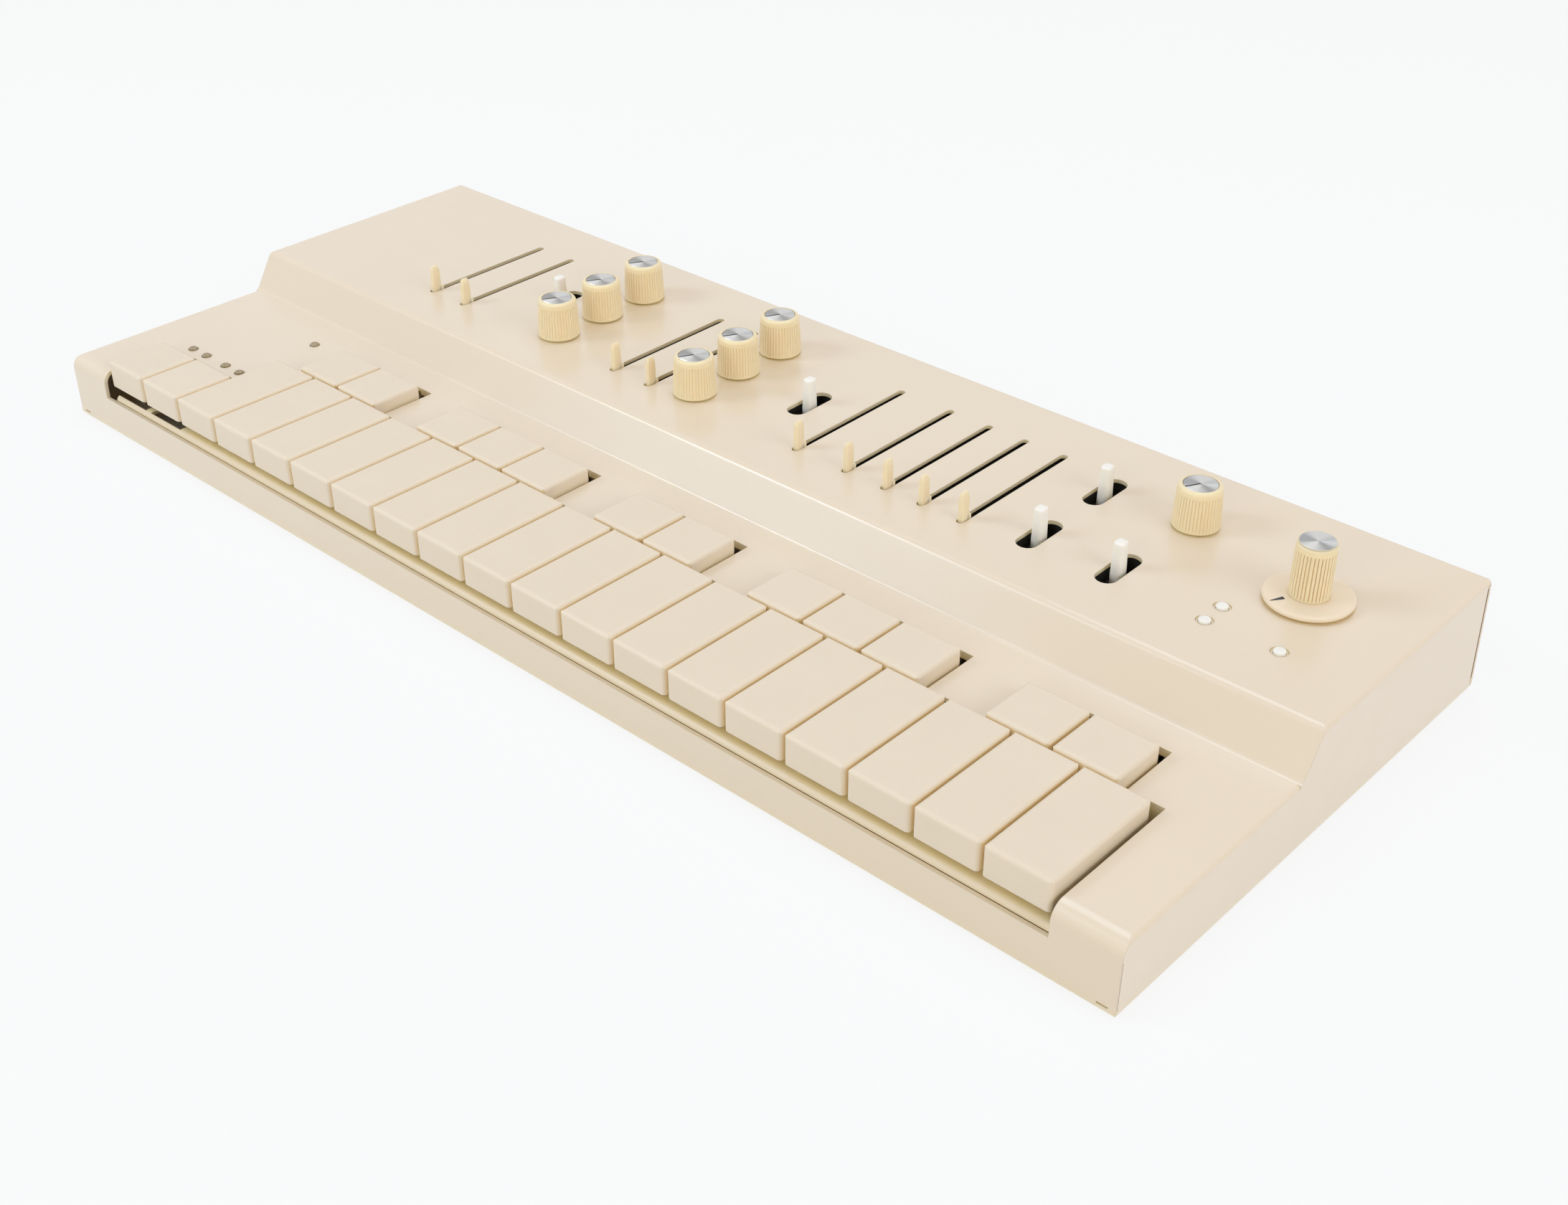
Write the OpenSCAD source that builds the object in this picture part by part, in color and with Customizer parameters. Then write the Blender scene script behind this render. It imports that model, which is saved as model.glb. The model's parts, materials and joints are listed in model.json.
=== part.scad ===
// Polyphonic synthesizer: a folded sheet case with a two-row keyboard on its lower deck,
// and faders, knobs, toggles and buttons on its upper panel.
// Millimetres. +X runs along the keyboard, +Y to the back, +Z up.
// The origin lies under the middle of the case, on the surface that it stands on.

/* [Case] */
// Thickness of the folded sheet
sheet_t = 1.2; // [1:0.1:1.6]
// Height of the keyboard deck at its front edge
front_h = 21.5; // [21:0.5:28]
// Slope of the keyboard deck, in degrees
deck_tilt = 0.6; // [0:0.1:1.5]
// Depth that the riser takes between the deck and the upper panel
riser_run = 7.5; // [5:0.5:12]
// Height of the riser
riser_rise = 12.4; // [11:0.2:18]
// Depth of the upper panel
panel_run = 86.2; // [85:0.1:110]
// Slope of the upper panel, in degrees
panel_tilt = 0.96; // [0:0.02:2]
// How far the rear wall leans out from its top to its foot
rear_lean = 3.4; // [0:0.2:6]
// Case beyond the row of keys at each end
side_margin = 20.5; // [16:0.5:40]
// Outside radius of the bend along the front edge
edge_r = 4.5; // [3:0.5:6]
// Inside radius of the bends along the side edges
side_bend = 0.3; // [0.2:0.1:3]
// Outside radius of the two bends of the riser
riser_r = 2.5; // [2:0.5:4]
// Inside radius of the bends round the bottom
foot_bend = 0.3; // [0.2:0.1:3.8]
// Width of the return flange round the bottom
flange_w = 10; // [8:1:16]
// Seam between two folded sheets
seam = 0.3; // [0.2:0.1:0.5]

/* [Keyboard] */
// Spacing of the keys along a row
key_pitch = 20; // [18:0.5:23]
// Gap between two keys of a row, and beside the end keys of a group
key_gap = 1; // [0.6:0.1:1.4]
// Gap beside the end keys of the front row
row_end_gap = 1.5; // [1:0.1:2]
// Height of a key from its bottom edge to its top
key_h = 8.9; // [8:0.1:10]
// How far the tops of the keys stand above the deck
key_proud = 4.3; // [3:0.1:5]
// How far the fronts of the keys stand behind the front face
key_setback = 2; // [1.5:0.1:3]
// Length of a natural key
natural_len = 38.9; // [34:0.1:60]
// Length of a function key
function_len = 21; // [20:0.5:24]
// Length of a sharp key
sharp_len = 18.3; // [16:0.1:30]
// Gap between the front row and the sharp keys behind it
row_gap = 0.8; // [0.6:0.1:1.2]
// Room in the deck behind the back end of a key
slot_end_gap = 3.8; // [3:0.1:5]
// Rounding of the edges of a key
key_r = 1.2; // [0.6:0.1:1.8]
// Travel of a front-row key at its front edge
key_dip = 2.6; // [2:0.1:3]
// Travel of a sharp key at its front edge
sharp_dip = 2.4; // [1.8:0.1:2.8]
// Width of the arm that carries a natural or a sharp key
arm_w = 6; // [4:0.5:7]
// Width of the arm that carries a function key
function_arm_w = 4; // [3:0.5:4.5]
// Thickness of the key arms
arm_t = 2.8; // [2.4:0.1:3]
// Diameter of the rod that the keys turn on
rod_d = 3; // [2.5:0.1:3.5]
// Radial clearance of a key on the rod
rod_clear = 0.05; // [0.02:0.01:0.1]
// Wall of the key barrel round the rod
barrel_wall = 1.25; // [1:0.05:1.4]

/* [Faders] */
// Width of a fader slot in the panel
fader_slot_w = 2.4; // [2.2:0.1:3]
// Travel of a fader
fader_travel = 45; // [30:1:50]
// Distance of the slots from the front edge of the panel
fader_slot_y = 15.7; // [12:0.1:16]
// Thickness of a fader blade
fader_blade_t = 1.8; // [1.4:0.1:2]
// Length of a fader blade along its slot
fader_blade_len = 3.2; // [2.6:0.1:4]
// Height of a fader blade above the panel
fader_blade_h = 8.8; // [6:0.1:12]

/* [Knobs] */
// Diameter of a knob at its base
knob_d = 13.5; // [12:0.1:15]
// Diameter of a knob at its top edge
knob_top_d = 12.3; // [11:0.1:12.5]
// Height of a knob above the panel
knob_h = 13.1; // [11:0.1:16]
// Width of the flat rim round the metal disc in the top of a knob
knob_rim = 0.25; // [0.2:0.05:1]
// Diameter of the tuning knob
tuning_d = 11.8; // [11:0.1:14]
// Height of the tuning knob above the panel
tuning_h = 17.9; // [15:0.1:20]
// Diameter of the skirt of the tuning knob
skirt_d = 24; // [20:0.5:26]
// Thickness of the skirt
skirt_t = 1.6; // [1.2:0.1:2]
// Gap between the panel and the underside of a knob
knob_gap = 0.5; // [0.4:0.1:1]
// Diameter of a knob's shaft
shaft_d = 6; // [5:0.1:6.4]
// Radial clearance of a shaft in its bushing
shaft_clear = 0.05; // [0.02:0.01:0.1]

/* [Toggles and buttons] */
// Length of a toggle slot
toggle_slot_len = 17.4; // [15:0.1:20]
// Width of a toggle slot
toggle_slot_w = 6.4; // [5.6:0.1:7]
// Diameter of a toggle lever
toggle_d = 4; // [3:0.1:4.4]
// Height of a toggle lever above the panel
toggle_h = 8.4; // [7:0.1:11]
// Depth of a toggle's cross pin below the panel
toggle_pivot = 6; // [5:0.1:8]
// Diameter of a push button
button_d = 4; // [3:0.1:4.2]
// Height of a push button above the panel
button_h = 0.9; // [0.4:0.1:1.5]
// Travel of a push button
button_travel = 0.5; // [0.3:0.1:0.6]

/* [Lamps, boards and sockets] */
// Diameter of an indicator lamp
lamp_d = 3; // [2.6:0.1:3.2]
// Thickness of the circuit boards
board_t = 1.6; // [1.2:0.1:2]
// Diameter of a jack socket's bore
jack_d = 6.4; // [6.35:0.05:6.6]
// Diameter of the round control socket
din_d = 14; // [13.4:0.1:15]
// Diameter of the power inlet's bore
inlet_d = 5.6; // [5.5:0.1:6.4]

/* [Hidden] */
$fn = 48;
overlap = 1;
functions = 2;
naturals = 17;
front_keys = functions + naturals;

// A natural has a sharp on its right in these places of the octave, which starts on C
sharp_steps = [0, 1, 3, 4, 5];
sharps = [for (n = [0 : naturals - 2]) if (len(search(n % 7, sharp_steps)) > 0) n];

// The row of keys and the outline of the case
key_w = key_pitch - key_gap;
row_w = front_keys * key_pitch - key_gap;
case_w = row_w + 2 * side_margin;
natural_back = key_setback + natural_len;
function_back = key_setback + function_len;
sharp_front = natural_back + row_gap;
sharp_back = sharp_front + sharp_len;
pivot_gap = 9.5;
pivot_y = sharp_back + pivot_gap;
deck_depth = pivot_y + 4.4;
panel_front = deck_depth + riser_run;
panel_back = panel_front + panel_run;
depth = panel_back + rear_lean;
front_y = -depth / 2;
deck_back_h = front_h + deck_depth * tan(deck_tilt);
panel_front_h = deck_back_h + riser_rise;
panel_back_h = panel_front_h + panel_run * tan(panel_tilt);
lean_angle = atan(rear_lean / panel_back_h);
floor_top = 2 * sheet_t;
side_r = sheet_t + side_bend;
foot_r = sheet_t + foot_bend;
riser_angle = atan(riser_rise / riser_run);
// How far the bend at the foot of the riser reaches over the deck
foot_bend_run = (riser_r - sheet_t) * tan((riser_angle - deck_tilt) / 2) + riser_rise * tan(panel_tilt);

// Places on the upper panel, as shares of the width of the case from its middle and of the depth of the panel
function across_case(share) = share * case_w;
function on_layout(list) = [for (at = list) [at[0] * case_w, at[1] * panel_run]];
fader_shares = [-0.3321, -0.2945, -0.1195, -0.0826, 0.065, 0.1107, 0.1455, 0.1769, 0.2102];
fader_x = [for (share = fader_shares) across_case(share)];
knob_at = on_layout([[-0.195, 0.262], [-0.195, 0.487], [-0.195, 0.712],
    [-0.0469, 0.262], [-0.0469, 0.487], [-0.0469, 0.712], [0.3271, 0.676]]);
tuning_at = on_layout([[0.4262, 0.53]])[0];
toggle_at = on_layout([[-0.2417, 0.476], [0.0267, 0.476], [0.259, 0.657], [0.2583, 0.299], [0.3198, 0.297]]);
button_at = on_layout([[0.3914, 0.326], [0.3914, 0.2285], [0.4421, 0.233]]);
board_stud_at = on_layout([[-0.393, 0.476], [-0.157, 0.835], [0.005, 0.21], [0.233, 0.835], [0.352, 0.14],
    [0.467, 0.766]]);
pot_at = concat(knob_at, [tuning_at]);

case_points = [[0, 0], [0, front_h], [deck_depth, deck_back_h], [panel_front, panel_front_h],
    [panel_back, panel_back_h], [depth, 0]];

// Heights under the deck, measured down from its top surface
key_bottom = key_proud - key_h;
dip_clear = 0.4;
ledge_top = key_bottom - key_dip - dip_clear;
lip_drop = 1.6;
lip_top = ledge_top - lip_drop;
ledge_depth = 12;
ledge_r = 2;
ledge_end_inset = 3.5;
barrel_r = rod_d / 2 + rod_clear + barrel_wall;
pivot_z = -sheet_t - 1 - barrel_r;
sharp_bottom = -2 * sheet_t;
arm_clear = 0.5;
arm_top = min(sharp_bottom - sharp_dip - arm_clear, pivot_z - 0.6);
arm_bottom = arm_top - arm_t;
web_len = 9;
sharp_arm_top = -sheet_t - 0.8;
sharp_arm_t = 2.4;
plunger = 4;
plunger_arm = 19.5;
plunger_y = pivot_y - plunger_arm;

// The key board and its rubber contacts, which stand at their pressed height above the surface below the case
contact_d = 5;
contact_h = 3;
contact_gap = 0.2;
contact_reach = plunger_arm + contact_d / 2;
key_turn = asin(key_dip / (pivot_y - key_setback));
sharp_turn = asin(sharp_dip / (pivot_y - sharp_front));
pressed_bottom = arm_bottom - contact_reach * tan(key_turn);
plunger_bottom = pressed_bottom + contact_reach * tan(sharp_turn);
contact_top = front_h + plunger_y * sin(deck_tilt) + pressed_bottom - contact_gap;
key_board_top = contact_top - contact_h;
key_board_front = 15;
key_board_back = pivot_y - 7.5;
solder_gap = 0.1;
stud_d = 5;

// Toggle fits
toggle_tail = 1.5;
toggle_pin_d = 2;
toggle_pin_clear = 0.05;
toggle_wall = 2;
toggle_body_top = sheet_t + 0.2;
toggle_body_w = toggle_slot_w + 2 * toggle_wall;
toggle_body_len = toggle_slot_len + 2 * toggle_wall;
toggle_tail_gap = 0.3;
toggle_floor = toggle_pivot + norm([toggle_tail, toggle_d / 2]) + toggle_tail_gap;
toggle_floor_t = 1.3;
pin_inset = 0.4;

// The control board hangs where the toggles stand on it
board_drop = toggle_floor + toggle_floor_t + solder_gap;

// Fader fits
fader_end_gap = 0.9;
fader_foot_len = fader_blade_len + 1;
fader_foot_h = 1.2;
fader_slot_len = fader_travel + fader_foot_len + 2 * fader_end_gap;
fader_bottom = board_drop - 3;
slide_pot_w = 8;
slide_pot_len = fader_slot_len + 9;
slide_pot_top = 2 * sheet_t;
slide_cavity_w = fader_slot_w + 0.2;
fader_floor_gap = 0.3;

// Knob and pot fits
bushing_d = shaft_d + 1;
bushing_gap = 0.2;
pot_w = 10;
pot_top = sheet_t + 2.5;
shaft_end = board_drop - 1.6;
pointer_w = 0.7;
pointer_depth = 0.3;
pointer_angle = 240;
wedge_w = 1.3;
knob_edge = 0.8;

// Button fits
button_gap = 0.4;
button_flange = 0.8;
button_flange_top = sheet_t + button_gap;
tact_w = 6;
tact_h = 3.6;
tact_gap = 0.2;
button_bottom = board_drop - tact_h - solder_gap - button_travel - tact_gap;

// Lamps: a row behind the function keys, and one beside the first sharp
lamp_set = 3.8;
lamp_row_y = function_back + slot_end_gap + lamp_set;
lamp_columns = [0.24, 0.63, 1.18, 1.57];
lamp_at = concat([for (c = lamp_columns) [c * key_pitch, lamp_row_y]], [[1.616 * key_pitch, sharp_back]]);
lamp_gap = 0.2;
lamp_top = 0.3;
lamp_foot = 4.2;
lamp_flange = 0.4;
lamp_lead = 0.6;

// Sockets on the rear wall
jack_x = [across_case(-0.333), across_case(-0.274)];
din_x = across_case(-0.178);
inlet_x = across_case(0.357);
socket_wall = 2;
socket_gap = 0.1;
socket_lift = 3.6;
socket_z = sheet_t + foot_r + socket_lift + din_d / 2 + socket_wall;
jack_depth = 16;
din_depth = 8;
inlet_depth = 10;

key_color = "#E9DDC8";
case_color = "#E6DACA";
ivory = "#E6D3A6";

function two_digits(i) = i < 10 ? str("0", i) : str(i);
function natural_name(n) = str("natural_key_", two_digits(n + 1));
function sharp_name(k) = str("sharp_key_", two_digits(k + 1));
function function_name(i) = str("function_key_", i + 1);
function fader_name(i) = str("fader_", i + 1);
function knob_name(i) = str("knob_", i + 1);
function toggle_name(i) = str("toggle_", i + 1);
function button_name(i) = str("button_", i + 1);
function count(list) = [0 : len(list) - 1];

// X of the middle of a front-row key, and of the sharp to the right of a natural
function front_x(i) = -row_w / 2 + i * key_pitch + key_w / 2;
function sharp_x(n) = front_x(functions + n) + key_pitch / 2;
// Y of the rear wall at a height, moved in by a distance
function rear_y(z, inset) = depth - rear_lean * z / panel_back_h - inset / cos(lean_angle);
// A place given along and above the deck, as Y and Z of the part
function deck_point(y, z) = [front_y + y * cos(deck_tilt) - z * sin(deck_tilt),
    front_h + y * sin(deck_tilt) + z * cos(deck_tilt)];

// Outlines are listed clockwise, so the inside lies to the right of each edge
function edge_dir(p, i) = let (run = p[(i + 1) % len(p)] - p[i]) run / norm(run);
function right_of(u) = [u[1], -u[0]];
function meet(p, u, q, v) = p + u * cross(q - p, v) / cross(u, v);
function inset(p, d) = [for (i = count(p))
    let (j = (i + len(p) - 1) % len(p), u = edge_dir(p, j), v = edge_dir(p, i))
    meet(p[j] + right_of(u) * d[j], u, p[i] + right_of(v) * d[i], v)];

// The sliver between corner i of an outline and an arc of radius r that touches both its edges
module corner_piece(p, i, r) {
    u = -edge_dir(p, (i + len(p) - 1) % len(p));
    v = edge_dir(p, i);
    half = acos(u * v) / 2;
    bisector = (u + v) / norm(u + v);
    centre = p[i] + bisector * r / sin(half);
    difference() {
        polygon([p[i] - bisector * overlap, p[i] + u * r / tan(half), centre, p[i] + v * r / tan(half)]);
        translate(centre) circle(r);
    }
}

// Frames of the lower deck, the upper panel and the rear wall
module on_deck() {
    translate([0, front_y, front_h]) rotate([deck_tilt, 0, 0]) children();
}

module on_panel() {
    translate([0, front_y + panel_front, panel_front_h]) rotate([panel_tilt, 0, 0]) children();
}

module on_rear() {
    translate([0, front_y + depth, 0]) rotate([lean_angle, 0, 0]) children();
}

// A section drawn as Y and Z, stretched along X
module across(w) {
    translate([-w / 2, front_y, 0]) rotate([90, 0, 90]) linear_extrude(w) children();
}

// A section drawn as X and Z, stretched along Y
module along(y0, y1) {
    translate([0, y1, 0]) rotate([90, 0, 0]) linear_extrude(y1 - y0) children();
}

module rounded_square(w, h, r) {
    translate([-w / 2, -h / 2 + r]) square([w, h - 2 * r]);
    translate([-w / 2 + r, -h / 2]) square([w - 2 * r, h]);
    for (sx = [-1, 1], sy = [-1, 1]) translate([sx * (w / 2 - r), sy * (h / 2 - r)]) circle(r);
}

// A strip from y0 to y1 with round ends
module stadium(w, y0, y1) {
    translate([-w / 2, y0 + w / 2]) square([w, y1 - y0 - w]);
    for (y = [y0 + w / 2, y1 - w / 2]) translate([0, y]) circle(w / 2);
}

// A strip with rounded top corners, for the decks with their side bends
module arch(w, top, r) {
    tall = panel_back_h + 20;
    translate([-w / 2, top - tall]) square([w, tall - r]);
    translate([-w / 2 + r, top - r - overlap]) square([w - 2 * r, r + overlap]);
    for (s = [-1, 1]) translate([s * (w / 2 - r), top - r]) circle(r);
}

// Case: the outline of the folded cover, moved in by d
module cover_outline(d) {
    p = inset(case_points, [d, d, d, d, d > 0 ? -overlap : 0, d]);
    difference() {
        union() {
            polygon(p);
            corner_piece(p, 2, riser_r - sheet_t + d);
        }
        corner_piece(p, 0, foot_r - d);
        corner_piece(p, 1, edge_r - d);
        corner_piece(p, 3, riser_r - d);
    }
}

module cover_block(d) {
    w = case_w - 2 * d;
    intersection() {
        across(w) cover_outline(d);
        union() {
            on_deck() along(-overlap, deck_depth + overlap) arch(w, -d, side_r - d);
            on_panel() along(-riser_run - foot_bend_run, panel_run + 2 * overlap) arch(w, -d, side_r - d);
        }
        along(front_y - overlap, -front_y + 2 * overlap) translate([0, panel_back_h + d])
            rounded_square(w, 2 * panel_back_h, foot_r - d);
    }
}

// Openings for the keys through the deck and the front bend
module key_openings() {
    left = -row_w / 2 - row_end_gap;
    natural_left = front_x(functions) - key_pitch / 2;
    tall = key_proud - lip_top;
    on_deck() {
        translate([left, -overlap, lip_top])
            cube([row_w + 2 * row_end_gap, function_back + slot_end_gap + overlap, tall]);
        translate([natural_left, -overlap, lip_top])
            cube([row_w / 2 + row_end_gap - natural_left, natural_back + slot_end_gap + overlap, tall]);
        for (n = sharps)
            translate([sharp_x(n) - key_w / 2 - key_gap, natural_back, lip_top])
                cube([key_w + 2 * key_gap, sharp_back + slot_end_gap - natural_back, tall]);
    }
}

module lamp_holes() {
    on_deck() for (at = lamp_at)
        translate([at[0] - row_w / 2, at[1], -overlap - sheet_t])
            cylinder(h = sheet_t + 2 * overlap, d = lamp_d + 2 * lamp_gap);
}

module panel_holes() {
    deep = sheet_t + 2 * overlap;
    on_panel() translate([0, 0, -sheet_t - overlap]) {
        for (x = fader_x) translate([x, 0]) linear_extrude(deep)
            stadium(fader_slot_w, fader_slot_y, fader_slot_y + fader_slot_len);
        for (at = toggle_at) translate(at) linear_extrude(deep)
            stadium(toggle_slot_w, -toggle_slot_len / 2, toggle_slot_len / 2);
        for (at = pot_at) translate(at) cylinder(h = deep, d = bushing_d + 2 * bushing_gap);
        for (at = button_at) translate(at) cylinder(h = deep, d = button_d + 2 * button_gap);
    }
}

// Slits that free the bends at the two front corners
relief_len = 3;
relief_h = 0.5;
relief_z = 2.2;
relief_inset = 2.2;

module corner_reliefs() {
    for (side = [-1, 1])
        translate([side * (case_w / 2 - relief_inset - relief_len / 2), front_y + sheet_t / 2, relief_z])
            cube([relief_len, foot_r, relief_h], center = true);
}

// Studs under the panel that the control board hangs from
module board_studs() {
    on_panel() for (at = board_stud_at)
        translate([at[0], at[1], -board_drop]) cylinder(h = board_drop - sheet_t / 2, d = stud_d);
}

// The sides of the cover end in front of the rear wall
module rear_seat() {
    gap = sheet_t + seam;
    p = inset(case_points, [0, 0, 0, sheet_t, gap, 0]);
    q = inset(case_points, [0, 0, 0, sheet_t, -overlap, overlap]);
    polygon([p[4], q[4], q[5], [p[5][0], -overlap], p[5]]);
    corner_piece(p, 5, foot_r);
}

module top_cover() color(case_color) {
    difference() {
        cover_block(0);
        difference() {
            cover_block(sheet_t);
            board_studs();
        }
        translate([-case_w / 2 + flange_w, front_y + flange_w, -overlap])
            cube([case_w - 2 * flange_w, depth, sheet_t + 2 * overlap]);
        across(case_w + 2 * overlap) rear_seat();
        key_openings();
        lamp_holes();
        panel_holes();
        corner_reliefs();
    }
}

// Base pan: floor, rear wall and the ledge under the fronts of the keys
pan_front = sheet_t + seam;
pan_w = case_w - 2 * (foot_r + seam);
ledge_z = front_h + ledge_top;
ledge_root = ledge_z - ledge_r - sheet_t;
rear_top = panel_back_h - sheet_t - seam;

// The corner between the floor and the rear wall, moved in by d
function rear_corner(d) = [[rear_y(rear_top, d), rear_top], [rear_y(sheet_t + d, d), sheet_t + d],
    [pan_front, sheet_t + d]];

module pan_floor() {
    p = [[pan_front, sheet_t], [pan_front, ledge_root], [pan_front + sheet_t, ledge_root],
        [pan_front + sheet_t, floor_top], rear_corner(sheet_t)[1], rear_corner(0)[1]];
    difference() {
        union() {
            polygon(p);
            corner_piece(rear_corner(sheet_t), 1, foot_r - sheet_t);
        }
        corner_piece(p, 0, foot_r - sheet_t);
        corner_piece(rear_corner(0), 1, foot_r);
    }
}

module pan_rear_wall() {
    difference() {
        polygon([rear_corner(sheet_t)[0], rear_corner(0)[0], rear_corner(0)[1],
            [rear_y(sheet_t, sheet_t), sheet_t]]);
        corner_piece(rear_corner(0), 1, foot_r);
    }
}

module pan_ledge() {
    left = -row_w / 2 - row_end_gap + ledge_end_inset;
    p = [[pan_front, ledge_root - overlap], [pan_front, ledge_z], [ledge_depth, ledge_z],
        [ledge_depth, ledge_z - sheet_t], [pan_front + sheet_t, ledge_z - sheet_t],
        [pan_front + sheet_t, ledge_root - overlap]];
    difference() {
        translate([(left + row_w / 2 + row_end_gap) / 2, 0, 0]) across(row_w / 2 + row_end_gap - left)
            difference() {
                polygon(p);
                corner_piece(p, 1, ledge_r);
            }
        for (i = [0 : functions - 1])
            translate([front_x(i), front_y + pan_front + sheet_t + ledge_depth / 2, ledge_z])
                cube([key_w - 2 * key_gap, ledge_depth, 3 * sheet_t], center = true);
    }
}

module socket_holes() {
    on_rear() {
        for (x = jack_x) socket_hole(x, jack_d + 2 * socket_wall);
        socket_hole(din_x, din_d + 2 * socket_wall);
        socket_hole(inlet_x, inlet_d + 2 * socket_wall);
    }
}

module socket_hole(x, d) {
    translate([x, overlap, socket_z]) rotate([90, 0, 0])
        cylinder(h = sheet_t + 2 * overlap, d = d + 2 * socket_gap);
}

module base_pan() color(case_color) {
    difference() {
        union() {
            across(pan_w) pan_floor();
            across(case_w) pan_rear_wall();
            pan_ledge();
        }
        socket_holes();
    }
}

// Key rail: the rod that all keys turn on, with its brackets on the floor
rail_at = deck_point(pivot_y, pivot_z);
bracket_t = 2;
bracket_w = 7;
bracket_foot = 8;

module key_rail() color("silver") {
    for (b = [0, 1, 2, 5, 9, 12, 16, front_keys]) {
        x = front_x(b) - key_pitch / 2;
        translate([x - bracket_t / 2, rail_at[0] - bracket_w / 2, floor_top])
            cube([bracket_t, bracket_w, rail_at[1] + rod_d - floor_top]);
        translate([x - bracket_foot / 2, rail_at[0] - bracket_w / 2, floor_top])
            cube([bracket_foot, bracket_w, sheet_t]);
    }
    translate([-row_w / 2 - key_gap - bracket_t, rail_at[0], rail_at[1]]) rotate([0, 90, 0])
        cylinder(h = row_w + 2 * key_gap + 2 * bracket_t, d = rod_d);
}

// Keys: a cap with rounded edges, on an arm that ends in a barrel round the rod
module key_cap(y0, length, bottom) {
    tall = key_proud - bottom;
    middle = y0 + length / 2;
    intersection() {
        translate([0, middle, bottom]) linear_extrude(tall) rounded_square(key_w, length, key_r);
        along(y0, y0 + length) translate([0, key_proud - tall]) rounded_square(key_w, 2 * tall, key_r);
        translate([-key_w / 2, middle, key_proud - tall]) rotate([90, 0, 90]) linear_extrude(key_w)
            rounded_square(length, 2 * tall, key_r);
    }
}

module key_arm(w, y0, top, bottom) {
    difference() {
        union() {
            translate([-w / 2, y0, bottom]) cube([w, pivot_y - y0, top - bottom]);
            translate([-w / 2, pivot_y, pivot_z]) rotate([0, 90, 0]) cylinder(h = w, r = barrel_r);
        }
        translate([-w / 2 - overlap, pivot_y, pivot_z]) rotate([0, 90, 0])
            cylinder(h = w + 2 * overlap, d = rod_d + 2 * rod_clear);
    }
}

module front_key(i, length, w) color(key_color) {
    back = key_setback + length;
    on_deck() translate([front_x(i), 0, 0]) {
        key_cap(key_setback, length, key_bottom);
        translate([-w / 2, back - web_len, arm_bottom]) cube([w, web_len, key_bottom - arm_bottom + overlap]);
        key_arm(w, back - web_len, arm_top, arm_bottom);
    }
}

module sharp_key(k) color(key_color) {
    on_deck() translate([sharp_x(sharps[k]), 0, 0]) {
        key_cap(sharp_front, sharp_len, sharp_bottom);
        key_arm(arm_w, sharp_back - web_len, sharp_arm_top, sharp_arm_top - sharp_arm_t);
        translate([-plunger / 2, plunger_y - plunger / 2, plunger_bottom])
            cube([plunger, plunger, sharp_bottom - plunger_bottom + overlap]);
    }
}

// Circuit boards with the parts soldered to them
module key_board() {
    translate([-row_w / 2, front_y + key_board_front, key_board_top - board_t])
        cube([row_w, key_board_back - key_board_front, board_t]);
    key_board_feet();
    for (i = [0 : front_keys - 1]) key_contact(front_x(i));
    for (n = sharps) key_contact(sharp_x(n));
    for (at = lamp_at) lamp(at[0] - row_w / 2, at[1]);
}

module key_board_feet() {
    for (b = [1, 2, 5, 9, 12, 16, front_keys - 1], y = [key_board_front + stud_d, key_board_back - stud_d])
        translate([front_x(b) - key_pitch / 2, front_y + y, floor_top])
            cylinder(h = key_board_top - board_t / 2 - floor_top, d = stud_d);
}

module key_contact(x) {
    translate([x, front_y + plunger_y, key_board_top + solder_gap])
        cylinder(h = contact_h - solder_gap, d = contact_d);
}

module lamp(x, y) {
    lead_x = lamp_d / 2 + lamp_flange - lamp_lead;
    at = deck_point(y, -lamp_foot);
    on_deck() translate([x, y, -lamp_foot]) {
        cylinder(h = 2 * lamp_flange, d = lamp_d + 2 * lamp_flange);
        cylinder(h = lamp_foot + lamp_top - lamp_d / 2, d = lamp_d);
        translate([0, 0, lamp_foot + lamp_top - lamp_d / 2]) sphere(d = lamp_d);
    }
    translate([x + lead_x, at[0] - lamp_lead / 2, key_board_top + solder_gap])
        cube([lamp_lead, lamp_lead, at[1] + lamp_flange - key_board_top - solder_gap]);
}

board_left = across_case(-0.419);
board_right = across_case(0.483);
board_front = 6;
board_back = fader_slot_y + fader_slot_len + 9.5;

module control_board() {
    on_panel() {
        translate([board_left, board_front, -board_drop - board_t])
            cube([board_right - board_left, board_back - board_front, board_t]);
        translate([0, 0, -board_drop + solder_gap]) {
            for (x = fader_x) translate([x, fader_slot_y + fader_slot_len / 2, 0]) slide_pot();
            for (at = pot_at) translate(at) rotary_pot();
            for (at = toggle_at) translate(at) toggle_body();
            for (at = button_at) translate(at) tact_switch();
        }
    }
}

// Heights in the parts on the control board are measured up from the board
function above_board(drop) = board_drop - solder_gap - drop;

module slide_pot() {
    difference() {
        translate([-slide_pot_w / 2, -slide_pot_len / 2, 0])
            cube([slide_pot_w, slide_pot_len, above_board(slide_pot_top)]);
        translate([-slide_cavity_w / 2, -fader_slot_len / 2, above_board(fader_bottom + fader_floor_gap)])
            cube([slide_cavity_w, fader_slot_len, board_drop]);
    }
}

module rotary_pot() {
    difference() {
        union() {
            translate([-pot_w / 2, -pot_w / 2, 0]) cube([pot_w, pot_w, above_board(pot_top)]);
            cylinder(h = above_board(solder_gap), d = bushing_d);
        }
        translate([0, 0, above_board(shaft_end + bushing_gap)])
            cylinder(h = board_drop, d = shaft_d + 2 * shaft_clear);
    }
}

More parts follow.
